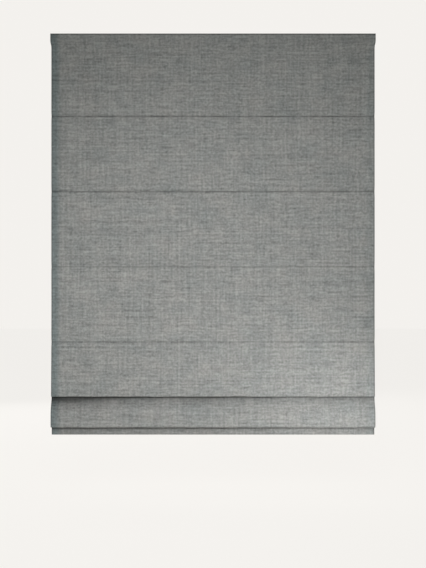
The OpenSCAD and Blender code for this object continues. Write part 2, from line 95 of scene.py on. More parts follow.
class Socket:
    """A shader value that takes part in Python arithmetic."""

    def __init__(self, shader: "Shader", link: bpy.types.NodeSocket) -> None:
        """Keep the node socket and the shader that it belongs to."""
        self.shader = shader
        self.link = link

    def __add__(self, other: "Value") -> "Socket":
        """Sum."""
        return self.shader.maths("ADD", self, other)

    def __radd__(self, other: "Value") -> "Socket":
        """Sum, reflected."""
        return self.shader.maths("ADD", other, self)

    def __sub__(self, other: "Value") -> "Socket":
        """Difference."""
        return self.shader.maths("SUBTRACT", self, other)

    def __rsub__(self, other: "Value") -> "Socket":
        """Difference, reflected."""
        return self.shader.maths("SUBTRACT", other, self)

    def __mul__(self, other: "Value") -> "Socket":
        """Product."""
        return self.shader.maths("MULTIPLY", self, other)

    def __rmul__(self, other: "Value") -> "Socket":
        """Product, reflected."""
        return self.shader.maths("MULTIPLY", other, self)


Value = Socket | float


class Shader:
    """The node tree of a material or world, written as expressions."""

    def __init__(self, owner: bpy.types.Material | bpy.types.World) -> None:
        """Start an empty tree."""
        owner.use_nodes = True
        self.owner = owner
        self.tree = owner.node_tree
        self.tree.nodes.clear()

    def add(
        self,
        kind: str,
        settings: Mapping[str, Any] | None = None,
        inputs: Mapping[str | int, Any] | None = None,
    ) -> list[Socket]:
        """Add any node.

        Args:
            kind: Blender's name for the node's type.
            settings: Properties, set before the sockets.
            inputs: Values or links, by a socket's name, identifier or place.

        Returns:
            All its outputs.
        """
        made = self.tree.nodes.new(kind)
        for name, value in (settings or {}).items():
            setattr(made, name, value)
        for name, value in (inputs or {}).items():
            socket = next(s for i, s in enumerate(made.inputs) if name in (i, s.identifier, s.name))
            if isinstance(value, Socket):
                self.tree.links.new(value.link, socket)
            else:
                socket.default_value = value
        return [Socket(self, s) for s in made.outputs]

    def node(
        self,
        kind: str,
        settings: Mapping[str, Any] | None = None,
        inputs: Mapping[str | int, Any] | None = None,
        out: str | None = None,
    ) -> Socket:
        """Add any node, for one of its outputs.

        Args:
            kind: Blender's name for the node's type.
            settings: Properties, set before the sockets.
            inputs: Values or links, by a socket's name, identifier or place.
            out: The output to return, by name or identifier, or else the first.

        Returns:
            The chosen output.
        """
        outputs = self.add(kind, settings, inputs)
        if out is None:
            return outputs[0]
        return next(s for s in outputs if out in (s.link.identifier, s.link.name))

    def maths(self, operation: str, *values: Value) -> Socket:
        """Add a Math node over values or sockets."""
        return self.node("ShaderNodeMath", {"operation": operation}, dict(enumerate(values)))

    def split(self, vector: Socket) -> tuple[Socket, Socket, Socket]:
        """Part a vector into its three numbers."""
        first, second, third = self.add("ShaderNodeSeparateXYZ", None, {"Vector": vector})
        return first, second, third

    def grains(self, where: Socket, size: Sequence[float], detail: float = 2.0) -> Socket:
        """Noise whose grains have a given size along each axis.

        Args:
            where: The place on the surface, in metres.
            size: Size of a grain along X, Y and Z, in metres; a cloth's map needs no Z.
            detail: Octaves of finer noise.

        Returns:
            The noise, centred on zero.
        """
        placed = self.node(
            "ShaderNodeVectorMath",
            {"operation": "MULTIPLY"},
            {"Vector": where, "Vector_001": tuple(1 / s for s in (*size, 1.0)[:3])},
        )
        noise = self.node(
            "ShaderNodeTexNoise",
            {"noise_dimensions": "3D"},
            {"Vector": placed, "Scale": 1.0, "Detail": detail, "Roughness": 0.55},
            out="Fac",
        )
        return noise - 0.5

    def place(self) -> Socket:
        """The place on the surface, in the object's own frame."""
        return self.node("ShaderNodeTexCoord", out="Object")

    def attribute(self, name: str, out: str) -> Socket:
        """A map that the mesh carries."""
        return self.node("ShaderNodeAttribute", {"attribute_name": name}, out=out)

    def sine(self, value: Socket, wave: float) -> Socket:
        """A sine of a given wave length."""
        return self.maths("SINE", value * (math.tau / wave))

    def step(self, value: Socket, start: float, end: float) -> Socket:
        """A smooth step from 0 at the start to 1 at the end."""
        bounds = {"Value": value, "From Min": start, "From Max": end}
        return self.node("ShaderNodeMapRange", {"interpolation_type": "SMOOTHSTEP"}, bounds)

    def tint(self, colour: Colour | Socket, share: Socket) -> Socket:
        """A colour whose brightness is multiplied by a share."""
        return self.node("ShaderNodeVectorMath", {"operation": "SCALE"}, {"Vector": colour, "Scale": share})

    def blend(self, factor: Value, first: Any, second: Any) -> Socket:
        """Mix two colours."""
        return self.node(
            "ShaderNodeMix",
            {"data_type": "RGBA"},
            {"Factor_Float": factor, "A_Color": first, "B_Color": second},
            out="Result_Color",
        )

    def bump(self, height: Socket, depth: float) -> Socket:
        """A normal from a height, where a height of one stands for the depth in metres."""
        return self.node("ShaderNodeBump", None, {"Height": height, "Strength": 1.0, "Distance": depth})

    def seen(self) -> Socket:
        """One for the rays that show a background: camera, glossy and transmission."""
        path = {s.link.name: s for s in self.add("ShaderNodeLightPath")}
        rays = path["Is Camera Ray"] + path["Is Glossy Ray"] + path["Is Transmission Ray"]
        return self.maths("MINIMUM", rays, 1.0)

    def surface(self, **inputs: Any) -> bpy.types.Material:
        """Close the tree with a Principled surface.

        Args:
            inputs: Socket names with underscores for spaces, and their values or links.

        Returns:
            The material.
        """
        named = {name.replace("_", " "): value for name, value in inputs.items()}
        shader = self.node("ShaderNodeBsdfPrincipled", None, named)
        self.close("ShaderNodeOutputMaterial", shader)
        return self.owner

    def close(self, kind: str, shader: Socket) -> None:
        """Lead a shader to the tree's output."""
        self.add(kind, None, {"Surface": shader})


@dataclass(frozen=True)
class Sway:
    """How far a texture moves a surface's brightness, roughness and height."""

    shade: float = 0.0
    rough: float = 0.0
    relief: float = 0.0


@dataclass(frozen=True)
class Grain(Sway):
    """Noise in a surface, with its grain's size along each axis and its octaves."""

    size: tuple[float, ...] = (MM, MM, MM)
    detail: float = 2.0


Texture = tuple[Socket, Sway]


@dataclass(frozen=True)
class Finish:
    """A surface finish: a colour, a roughness and a depth of relief, all swayed by textures."""

    name: str
    colour: Colour
    roughness: float
    depth: float
    level: float = 1.0

    def start(self) -> Shader:
        """Start this finish's node tree."""
        return Shader(bpy.data.materials.new(self.name))

    def material(self) -> bpy.types.Material:
        """Build the material."""
        raise NotImplementedError

    @staticmethod
    def noises(s: Shader, where: Socket, *grains: Grain) -> list[Texture]:
        """Make the noise of each grain at a place."""
        return [(s.grains(where, grain.size, grain.detail), grain) for grain in grains]

    @staticmethod
    def swayed(level: float, parts: Iterable[tuple[Socket, float]]) -> Value:
        """Add values to a level, each with its weight; a weight of zero adds no node.

        Args:
            level: The level without them.
            parts: The values and their weights.

        Returns:
            The swayed level.
        """
        total: Value = level
        for value, weight in parts:
            if weight:
                total = total + value * weight
        return total

    def shade(self, textures: Sequence[Texture]) -> Value:
        """The brightness that textures give."""
        return self.swayed(self.level, ((value, sway.shade) for value, sway in textures))

    def close(
        self, s: Shader, colour: Socket, textures: Sequence[Texture], **more: Any
    ) -> bpy.types.Material:
        """Close the surface, with its roughness and normal swayed by textures.

        Args:
            s: The node tree.
            colour: The colour over the surface.
            textures: Values, each with its sway.
            more: Other sockets of the surface.

        Returns:
            The material.
        """
        height = self.swayed(0.0, ((value, sway.relief) for value, sway in textures))
        return s.surface(
            Base_Color=colour,
            Roughness=self.swayed(self.roughness, ((value, sway.rough) for value, sway in textures)),
            Normal=s.bump(height, self.depth),
            **more,
        )

    def close_plain(self, s: Shader, textures: Sequence[Texture], **more: Any) -> bpy.types.Material:
        """Close a surface of one colour, swayed by textures."""
        return self.close(s, s.tint(self.colour, self.shade(textures)), textures, **more)


@dataclass(frozen=True)
class LinenFinish(Finish):
    """Grey linen-look cloth with slubs along both threads, a painted cool shade over its side turn-ins and painted
    shade in its creases, under its folds and along its edges.
    """

    name: str = "linen"
    colour: Colour = srgb(146, 150, 149)
    roughness: float = 0.86
    depth: float = 0.4 * MM
    warm: Colour = srgb(152, 150, 147)
    warm_clouds: float = 1.2
    warm_warp: float = 0.6
    # Colour of the painted cool shade over the side turn-ins.
    side_shade_colour: Colour = srgb(118, 127, 128)
    weft: Grain = Grain(0.66, 0.0, 0.5, (50 * MM, 7.6 * MM), 1.0)
    warp: Grain = Grain(0.396, 0.0, 0.5, (7.6 * MM, 70 * MM), 1.0)
    weft_bands: Grain = Grain(0.4, 0.0, 0.0, (700 * MM, 9 * MM), 1.0)
    warp_bands: Grain = Grain(0.3, 0.0, 0.0, (10 * MM, 600 * MM), 1.0)
    specks: Grain = Grain(0.85, 0.12, 0.4, (9.2 * MM, 8.4 * MM), 1.0)
    clouds: Grain = Grain(0.3, 0.0, 0.0, (110 * MM, 80 * MM))
    weft_fibres: Grain = Grain(0.45, 0.0, 0.4, (5 * MM, 1.1 * MM))
    warp_fibres: Grain = Grain(0.45, 0.0, 0.4, (1.1 * MM, 6 * MM))
    thread: float = 1.5 * MM
    weave: Sway = Sway(0.1, 0.0, 0.25)
    # Painted cool shade over the side turn-ins: where it fades in, where it stops and how deep it is at each side.
    side_shade_fades: tuple[float, float] = (PANEL_HALF - 42 * MM, PANEL_HALF - 12 * MM)
    side_shade_hides: tuple[float, float] = (PANEL_HALF + 4 * MM, PANEL_HALF + 2 * MM)
    left_turn: float = 0.9
    right_turn: float = 0.25
    # Painted shade along the side and top edges: its width at the sides, its span at the top and its depth.
    side_shade_width: float = 6 * MM
    top_shade_span: tuple[float, float] = (7 * MM, 2 * MM)
    edge_shade: float = 0.48
    crease_shade: float = 0.62

    def material(self) -> bpy.types.Material:
        """Build the cloth from its own map of width and length.

        Returns:
            The material.
        """
        s = self.start()
        where = s.attribute(CLOTH_MAP, "Vector")
        across, along, _ = s.split(where)
        warp, clouds = self.noises(s, where, self.warp, self.clouds)
        bands = self.noises(s, where, self.weft_bands, self.warp_bands)
        grains = self.noises(s, where, self.weft, self.specks, self.weft_fibres, self.warp_fibres)
        threads = s.sine(across, self.thread) * s.sine(along, self.thread)
        textures = [warp, clouds, *bands, *grains, (threads, self.weave)]
        # Brightness from the textures, less the painted shade.
        shade = self.shade(textures) * self._wear(s, across, along)
        mixed = 0.5 + clouds[0] * self.warm_clouds + warp[0] * self.warm_warp
        dyed = s.blend(mixed, (*self.colour, 1.0), (*self.warm, 1.0))
        # Painted cool shade over the side turn-ins, deep at the left.
        side_shaded = s.blend(self._turned(s, across), dyed, (*self.side_shade_colour, 1.0))
        return self.close(
            s,
            s.tint(side_shaded, shade),
            textures,
            Specular_IOR_Level=0.25,
            Sheen_Weight=0.1,
            Sheen_Roughness=0.5,
        )

    def _wear(self, s: Shader, across: Socket, along: Socket) -> Socket:
        """What the painted shade in the creases, under the folds and along the side and top edges leaves of the
        brightness.
        """
        side, edge = s.maths("ABSOLUTE", across), PANEL_HALF
        # Painted shade along the side and top edges.
        edge_shaded = s.step(side, edge - self.side_shade_width, edge) * s.step(side, edge + self.side_shade_width, edge)
        edge_shaded = edge_shaded + s.step(along, *self.top_shade_span)
        # Painted shade in the creases and under the folds, carried by the mesh.
        crease = s.attribute(SHADE_MAP, "Fac")
        return (1.0 - crease * self.crease_shade) * (1.0 - edge_shaded * self.edge_shade)

    def _turned(self, s: Shader, across: Socket) -> Socket:
        """Where the painted cool shade lies over the side turn-ins, deep at the left and faint at the right, on
        the outside of the cloth.
        """
        start, end = self.side_shade_fades
        left, right = s.step(across, -start, -end), s.step(across, start, end)
        outside = s.step(s.maths("ABSOLUTE", across), *self.side_shade_hides)
        return (left * self.left_turn + right * self.right_turn) * outside


@dataclass(frozen=True)
class LiningFinish(Finish):
    """Off-white cotton lining with a fine twill."""

    name: str = "lining_cloth"
    colour: Colour = srgb(224, 219, 208)
    roughness: float = 0.78
    depth: float = 0.3 * MM
    twill: float = 1.2 * MM
    ribs: Sway = Sway(0.012, 0.0, 0.2)
    clouds: Grain = Grain(0.1, 0.0, 1.6, (70 * MM, 110 * MM), 3.0)
    grain: Grain = Grain(0.08, 0.1, 0.6, (9 * MM, 3 * MM))

    def material(self) -> bpy.types.Material:
        """Build the lining from its own map of width and length."""
        s = self.start()
        where = s.attribute(CLOTH_MAP, "Vector")
        across, along, _ = s.split(where)
        ribs = s.sine(across + along, self.twill)
        textures = [*self.noises(s, where, self.clouds, self.grain), (ribs, self.ribs)]
        return self.close_plain(s, textures, Specular_IOR_Level=0.3)


@dataclass(frozen=True)
class TapeFinish(Finish):
    """Woven white tape, ribbed both ways."""

    name: str = "sewing_tape"
    colour: Colour = srgb(232, 229, 221)
    roughness: float = 0.82
    depth: float = 0.25 * MM
    rib: float = 1.6 * MM
    ribs: Sway = Sway(0.03, 0.0, 0.4)
    grain: Grain = Grain(0.16, 0.12, 1.0, (6 * MM, 6 * MM, 2 * MM))

    def material(self) -> bpy.types.Material:
        """Build the tape in the object's own frame."""
        s = self.start()
        where = s.place()
        along, _, up = s.split(where)
        ribs = s.sine(along, self.rib) * s.sine(up, self.rib)
        textures = [*self.noises(s, where, self.grain), (ribs, self.ribs)]
        return self.close_plain(s, textures, Specular_IOR_Level=0.25)


@dataclass(frozen=True)
class PowderCoatFinish(Finish):
    """White powder coat with a fine orange peel."""

    name: str = "rail_white"
    colour: Colour = srgb(236, 236, 233)
    roughness: float = 0.42
    depth: float = 0.06 * MM
    level: float = 0.97
    peel: Grain = Grain(0.0, 0.0, 1.0, (1.6 * MM, 1.6 * MM, 1.6 * MM))
    smudge: Grain = Grain(0.06, 0.14, 0.0, (60 * MM, 20 * MM, 12 * MM), 3.0)

    def material(self) -> bpy.types.Material:
        """Build the coat in the object's own frame."""
        s = self.start()
        return self.close_plain(s, self.noises(s, s.place(), self.peel, self.smudge))


@dataclass(frozen=True)
class MouldedFinish(Finish):
    """Moulded plastic with a satin mould texture."""

    roughness: float = 0.42
    depth: float = 0.05 * MM
    spark: Grain = Grain(0.0, 0.0, 1.0, (0.9 * MM, 0.9 * MM, 0.9 * MM))
    flow: Grain = Grain(0.08, 0.16, 0.0, (14 * MM, 9 * MM, 9 * MM))

    def material(self) -> bpy.types.Material:
        """Build the plastic in the object's own frame."""
        s = self.start()
        return self.close_plain(s, self.noises(s, s.place(), self.spark, self.flow))


@dataclass(frozen=True)
class MetalFinish(Finish):
    """Bare or plated metal with drawing marks along X."""

    roughness: float = 0.34
    depth: float = 0.03 * MM
    drawn: Grain = Grain(0.0, 0.3, 1.0, (120 * MM, 0.5 * MM, 0.5 * MM), 3.0)
    patch: Grain = Grain(0.12, 0.12, 0.0, (18 * MM, 12 * MM, 12 * MM), 3.0)

    def material(self) -> bpy.types.Material:
        """Build the metal in the object's own frame."""
        s = self.start()
        return self.close_plain(s, self.noises(s, s.place(), self.drawn, self.patch), Metallic=1.0)


@dataclass(frozen=True)
class BraidFinish(Finish):
    """Braided polyester cord, from its map of angle and length."""

    name: str = "cord_braid"
    colour: Colour = srgb(231, 228, 219)
    roughness: float = 0.7
    depth: float = 0.08 * MM
    level: float = 0.95
    lay: float = 2.2 * MM
    strands: Sway = Sway(0.07, 0.05, 1.0)

    def material(self) -> bpy.types.Material:
        """Build the braid as two crossing helices."""
        s = self.start()
        angle, along, _ = s.split(s.attribute(CLOTH_MAP, "Vector"))
        pull = along * (math.tau / self.lay)
        strands = s.maths("SINE", pull + angle * 2.0) * s.maths("SINE", pull - angle * 2.0)
        return self.close_plain(s, [(strands, self.strands)])


@dataclass(frozen=True)
class FibreRodFinish(Finish):
    """Pultruded fibreglass rod with fibres along X."""

    name: str = "rod_glass"
    colour: Colour = srgb(222, 216, 196)
    roughness: float = 0.36
    depth: float = 0.03 * MM
    fibre: Grain = Grain(0.28, 0.15, 1.0, (90 * MM, 0.35 * MM, 0.35 * MM), 3.0)

    def material(self) -> bpy.types.Material:
        """Build the rod in the object's own frame."""
        s = self.start()
        return self.close_plain(s, self.noises(s, s.place(), self.fibre), Coat_Weight=0.3)


FINE_MARKS = Grain(0.0, 0.2, 1.0, (120 * MM, 0.5 * MM, 0.5 * MM), 3.0)
FINISHES: dict[str, Finish] = {
    "linen": LinenFinish(),
    "lining_cloth": LiningFinish(),
    "sewing_tape": TapeFinish(),
    "rail_white": PowderCoatFinish(),
    "cap_white": MouldedFinish("cap_white", srgb(232, 232, 228)),
    "zinc_steel": MetalFinish("zinc_steel", srgb(196, 198, 201)),
    "lever_steel": MetalFinish("lever_steel", srgb(184, 186, 189), 0.3),
    "gear_white": MouldedFinish("gear_white", srgb(236, 236, 231), 0.3, 0.02 * MM),
    "motor_grey": MouldedFinish("motor_grey", srgb(104, 107, 110), 0.5, 0.08 * MM),
    "spring_steel": MetalFinish("spring_steel", srgb(150, 158, 168), 0.2, drawn=FINE_MARKS),
    "cord_braid": BraidFinish(),
    "shaft_metal": MetalFinish("shaft_metal", srgb(174, 176, 179), 0.32),
    "rod_glass": FibreRodFinish(),
    "ring_plastic": MouldedFinish("ring_plastic", srgb(228, 227, 222), 0.34, 0.03 * MM),
    "bar_metal": MetalFinish("bar_metal", srgb(198, 200, 202), 0.38),
}


@dataclass(frozen=True)
class LiftMotion:
    """How far the bottom bar and the rods rise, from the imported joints."""

    travel: float
    ratios: Mapping[str, float]

    @classmethod
    def read(cls) -> "LiftMotion":
        """Read the lift's travel and the ratios of the rods that follow it."""
        lift = next(j for j in frame["joints"] if j["name"] == LIFT_JOINT)
        couplings = frame["record"]["behaviour"]["couplings"]
        return cls(max(lift["range_m"]), {c["joint"]: c["ratio"] for c in couplings})

    def rise(self, k: int) -> float:
        """Height that crease k rises by at the top of the lift; crease 0 is the fixed head."""
        if k == 0:
            return 0.0
        return self.travel * self.ratios.get(f"batten_{k}_rise", 1.0)


@dataclass(frozen=True)
class BlindFrame:
    """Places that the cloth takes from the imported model, in metres."""

    top: float
    head_half: float
    hem_bottom: float
    front: float
    rod_y: float
    rod_z: tuple[float, ...]
    pocket_r: float
    tape_front: float
    bar_y: float
    bar_low: float
    bar_t: float

    @classmethod
    def read(cls) -> "BlindFrame":
        """Read the places from the nodes' boxes.

        Returns:
            The places.
        """
        face_low, face_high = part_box("face_fabric")
        bar_low, bar_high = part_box("bottom_bar")
        pocket_low, pocket_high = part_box("rod_pocket_1")
        tape_low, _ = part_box("loop_tape")
        rods = [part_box(f"rod_{k}") for k in range(1, HUNG_RODS + 2)]
        return cls(
            top=face_high[2],
            head_half=face_high[0],
            hem_bottom=face_low[2],
            front=face_low[1],
            rod_y=(rods[0][0][1] + rods[0][1][1]) / 2,
            rod_z=tuple((low[2] + high[2]) / 2 for low, high in rods),
            pocket_r=(pocket_high[1] - pocket_low[1]) / 2,
            tape_front=tape_low[1],
            bar_y=(bar_low[1] + bar_high[1]) / 2,
            bar_low=bar_low[2],
            bar_t=bar_high[1] - bar_low[1],
        )


@dataclass
class ClothSection:
    """Section of the hung cloth in the Y-Z plane, as rows from the top edge down to the hem."""

    face_t: float = 0.9 * MM
    lining_t: float = 0.4 * MM
    layer_gap: float = 0.1 * MM
    panel_half: float = PANEL_HALF
    head_drop: float = 32 * MM
    head_taper: float = 15 * MM
    head_fixed: float = 18 * MM
    rod_drop: float = 13 * MM
    seat_gap: float = 0.2 * MM
    edge_bulge: float = 0.05 * MM
    crease_depth: float = 1.6 * MM
    crease_half: float = 5 * MM
    crease_pull: tuple[float, ...] = (1.0, 0.9, 0.5, 0.55)
    crease_power: float = 1.6
    crease_shares: tuple[float, ...] = (-0.8, -0.6, -0.42, -0.26, -0.12, 0.0, 0.12, 0.26, 0.42, 0.6, 0.8, 1.0)
    pinch: float = 0.5 * MM
    pinch_reach: float = 12 * MM
    fold_1_drop: float = 203 * MM
    fold_1_lean: float = 7.65 * MM
    fold_1_r: float = 4.8 * MM
    fold_1_steps: int = 14
    fold_2_drop: float = 316 * MM
    fold_2_steps: int = 18
    fold_half: int = 7
    apex_r: float = 1.7 * MM
    turn_steps: int = 10
    hem_turn_r: float = 1.75 * MM
    hem_steps: int = 14
    hem_depth: float = 49 * MM
    hem_play: float = 0.65 * MM
    hem_inset: float = 1.5 * MM
    hem_inset_rows: int = 3
    swing_lift: float = 8 * MM
    swing_pull: float = 35 * MM
    swing_drop: float = 37 * MM
    swing_steps: int = 16
    stack_drop: float = 1262 * MM
    ridge_share: float = 0.62
    step: float = 9 * MM
    join: float = 5 * MM
    rows: list[Point] = field(default_factory=list)
    marks: dict[str, int] = field(default_factory=dict)
    creases: list[tuple[int, int, float]] = field(default_factory=list)

    def __post_init__(self) -> None:
        """Read the frame, lay out the rows and measure them."""
        self.frame = BlindFrame.read()
        self.lining_near = self.face_t / 2 + self.layer_gap
        self.lining_far = self.lining_near + self.lining_t
        self.turn_near = self.lining_far + self.layer_gap
        self.turn_far = self.turn_near + self.face_t
        self.face_y = self.frame.tape_front - self.lining_far
        self.crease_d = [self.frame.top - z - self.rod_drop for z in self.frame.rod_z[:HUNG_RODS]]
        self.fold_1_leg = self.fold_1_drop - self.face_t / 2 - self.fold_1_r
        self.hem_r = self.frame.bar_t / 2 + self.hem_play + self.face_t / 2
        self.hem_y = self.frame.bar_y - self.hem_r
        self._lay_panel()
        self._lay_folds()
        self._lay_hem()
        self._measure()

    def _mark(self, name: str) -> None:
        """Remember the last row under a name."""
        self.marks[name] = len(self.rows) - 1

    def _straight(self, start: Point, end: Point, with_start: bool = False) -> None:
        """Add rows along a straight line between two (y, drop) points."""
        steps = max(1, round(math.dist(start, end) / self.step))
        for i in range(0 if with_start else 1, steps + 1):
            y, d = (a + (b - a) * i / steps for a, b in zip(start, end))
            self.rows.append((y, self.frame.top - d))

    def _arc(self, centre: Point, radius: float, start: float, end: float, steps: int) -> None:
        """Add the rows of an arc, with angles in degrees from +Y towards +Z."""
        for i in range(steps + 1):
            angle = math.radians(start + (end - start) * i / steps)
            self.rows.append((centre[0] + radius * math.cos(angle), centre[1] + radius * math.sin(angle)))

    def _crease(self, k: int) -> None:
        """Add the rows of one stitched crease, and mark its middle."""
        d = self.crease_d[k - 1]
        for share in self.crease_shares:
            depth = self.crease_depth * self.crease_pull[k - 1] * (1 - abs(share)) ** self.crease_power
            self.rows.append((self.face_y + depth, self.frame.top - d - share * self.crease_half))
            self.creases.append((len(self.rows) - 1, k, share))
            if share == 0.0:
                self._mark(f"crease_{k}")

    def _lay_panel(self) -> None:
        """Lay out the flat panel from the top edge through the last hung crease."""
        y = self.face_y
        self._straight((y, 0.0), (y, self.head_fixed), with_start=True)
        self._mark("crease_0")
        start, clear = self.head_fixed, 0.0
        for k, crease in enumerate(self.crease_d, 1):
            ridge = start + (crease - start) * self.ridge_share
            self._straight((y, start + clear), (y, ridge))
            self._mark(f"ridge_{k}")
            self._straight((y, ridge), (y, crease - self.crease_half))
            self._crease(k)
            start, clear = crease, self.crease_half

    def _leg_y(self, d: float) -> float:
        """Place of the upper fold's leaning front leg at a drop."""
        return self.face_y - self.fold_1_lean * (d - self.crease_d[-1]) / self.fold_1_leg

    def _lay_folds(self) -> None:
        """Lay out the two gathered folds below the last hung crease."""
        top, last = self.frame.top, self.crease_d[-1]
        bend = last + self.fold_1_leg
        stops = [last + self.crease_half, self.stack_drop, bend - self.join]
        self._straight((self._leg_y(stops[0]), stops[0]), (self._leg_y(stops[1]), stops[1]))
        self._mark("stack")
        self._straight((self._leg_y(stops[1]), stops[1]), (self._leg_y(stops[2]), stops[2]))
        fold_1 = (self._leg_y(bend) + self.fold_1_r, top - bend)
        self._arc(fold_1, self.fold_1_r, 180, 360, self.fold_1_steps)
        self._mark("fold_1")
        back_y = fold_1[0] + self.fold_1_r
        apex_y = self.frame.rod_y
        low = self.frame.rod_z[-1] - self.frame.pocket_r - self.seat_gap
        apex_d = top - low + self.lining_far + self.apex_r
        self._straight((back_y, bend - self.join), (apex_y - self.apex_r, apex_d + self.join))
        self._arc((apex_y, top - apex_d), self.apex_r, 180, 0, self.turn_steps)
        self._mark("apex")
        leg_y = apex_y + self.apex_r
        swing_d = last + self.fold_1_drop - self.swing_lift
        self._straight((leg_y, apex_d + self.join), (leg_y, swing_d - self.join))
        self._lay_swing(leg_y, swing_d)

    def _lay_swing(self, leg_y: float, swing_d: float) -> None:
        """Lay out the lower fold, which swings forward from the rod's leg."""
        top = self.frame.top
        front_y = self.frame.front + self.face_t / 2 + self.edge_bulge
        radius = (self.hem_y - 2 * self.hem_turn_r - front_y) / 2
        bend = self.crease_d[-1] + self.fold_2_drop - self.face_t / 2 - radius
        end_d = bend - self.swing_drop
        hull = [
            (leg_y, swing_d), (leg_y, swing_d + self.swing_pull),
            (front_y, end_d - self.swing_pull), (front_y, end_d),
        ]
        for i in range(self.swing_steps + 1):
            t = i / self.swing_steps
            weights = ((1 - t) ** 3, 3 * (1 - t) ** 2 * t, 3 * (1 - t) * t * t, t ** 3)
            y, d = (sum(w * p[axis] for w, p in zip(weights, hull)) for axis in (0, 1))
            self.rows.append((y, top - d))
        self._straight((front_y, end_d), (front_y, bend - self.join))
        self._arc((front_y + radius, top - bend), radius, 180, 360, self.fold_2_steps)
        self._mark("fold_2")

    def _lay_hem(self) -> None:
        """Lay out the hem's top turn and the pocket round the bottom bar."""
        top = self.frame.top
        turn_d = top - self.frame.hem_bottom - self.hem_depth
        bar_z = self.frame.bar_low + self.frame.bar_t / 2
        turn_y = self.hem_y - self.hem_turn_r
        self._arc((turn_y, top - turn_d), self.hem_turn_r, 180, 0, self.turn_steps)
        self._mark("hem_top")
        self._straight((self.hem_y, turn_d + self.join), (self.hem_y, top - bar_z - self.join), True)
        self._arc((self.frame.bar_y, bar_z), self.hem_r, 180, 360, self.hem_steps)
        back_y = self.frame.bar_y + self.hem_r
        self._straight((back_y, top - bar_z - self.join), (back_y, turn_d + MM), True)
        self._mark("end")

    def _measure(self) -> None:
        """Work out each row's run along the cloth and its direction to the back."""
        self.points = np.array(self.rows)
        steps = np.diff(self.points, axis=0)
        lengths = np.linalg.norm(steps, axis=1)
        self.run = np.concatenate([[0.0], np.cumsum(lengths)])
        unit = steps / lengths[:, None]
        before, after = np.vstack([unit[:1], unit]), np.vstack([unit, unit[-1:]])
        both = (before + after) / (1 + np.sum(before * after, axis=1, keepdims=True))
        self.back = np.column_stack([-both[:, 1], both[:, 0]])
        self.drop = self.frame.top - self.points[:, 1]

    def fold_row(self, mark: str) -> int:
        """The row about the bottom of a fold."""
        return self.marks[mark] - self.fold_half

    def half_widths(self) -> np.ndarray:
        """Half the cloth's width at each row: wider across the headrail, pinched at each crease."""
        share = np.clip((self.drop - self.head_drop) / self.head_taper, 0.0, 1.0)
        half = self.frame.head_half + (self.panel_half - self.frame.head_half) * share
        for d in self.crease_d:
            half -= self.pinch * np.exp(-(((self.drop - d) / self.pinch_reach) ** 2))
        hem = np.clip((np.arange(len(half)) - self.marks["hem_top"]) / self.hem_inset_rows, 0.0, 1.0)
        return half - hem * self.hem_inset


@dataclass(frozen=True)
class Strip:
    """Cross-section of a cloth from edge to edge: places across it, its two faces and its run."""

    share: np.ndarray
    edge: float
    shift: tuple[np.ndarray, np.ndarray]
    depth: tuple[np.ndarray, np.ndarray]
    run: np.ndarray
    width: float
    turn_shares: ClassVar[tuple[float, ...]] = (1.0, 0.7, 0.42, 0.18)
    turn_bends: ClassVar[int] = 8

    @classmethod
    def flat(cls, half: float, inset: float, near: float, far: float, columns: int) -> "Strip":
        """A plain strip.

        Args:
            half: Half width of the panel.
            inset: Distance from the panel's edge to the strip's edge.
            near: Depth of its front face.
            far: Depth of its back face.
            columns: Number of lengths across it.

        Returns:
            The strip.
        """
        share = np.linspace(-1.0, 1.0, columns + 1)
        none = np.zeros_like(share)
        wide = half - inset
        return cls(share, inset, (none, none), (none + near, none + far), share * wide, 2 * wide)

    @classmethod
    def turned(cls, half: float, turn: float, section: ClothSection, columns: int) -> "Strip":
        """A strip with both side edges folded over to the back.

        Args:
            half: Half width of the panel.
            turn: Width of a turn-in.
            section: The section that gives the cloth's layers.
            columns: Number of lengths across its face.

        Returns:
            The strip, from one free edge round the face to the other.
        """
        thick = section.face_t / 2
        radius = (section.turn_near + section.turn_far) / 4
        edge = radius + thick
        insets = np.array(cls.turn_shares) * turn
        bends = np.linspace(math.pi, 0.0, cls.turn_bends)
        flat = np.linspace(-1.0, 1.0, columns + 1)[1:-1]
        shifts, depths = [], []
        for offset, back in ((thick, section.turn_far), (-thick, section.turn_near)):
            side = np.concatenate([edge - insets, (radius + offset) * np.sin(bends)])
            bent = radius - (radius + offset) * np.cos(bends)
            sink = np.concatenate([np.full(len(insets), back), bent])
            shifts.append(np.concatenate([-side, np.zeros(len(flat)), side[::-1]]))
            depths.append(np.concatenate([sink, np.full(len(flat), -offset), sink[::-1]]))
        ends = np.ones(len(insets) + len(bends))
        share = np.concatenate([-ends, flat, ends])
        across = share * (half - edge) + (shifts[0] + shifts[1]) / 2
        level = (depths[0] + depths[1]) / 2
        run = np.concatenate([[0.0], np.cumsum(np.hypot(np.diff(across), np.diff(level)))])
        width = float(run[-1])
        return cls(share, edge, (shifts[0], shifts[1]), (depths[0], depths[1]), run - width / 2, width)


@dataclass(frozen=True)
class Length:
    """One length of cloth between two rows, the body that it rides on and how it folds."""

    name: str
    first: int
    last: int
    body: str
    rests_on: str
    axis: tuple[float, float, float] | None = None
    anchor: tuple[float, float, float] = (0.0, 0.0, 0.0)
    keep: float = 1.0


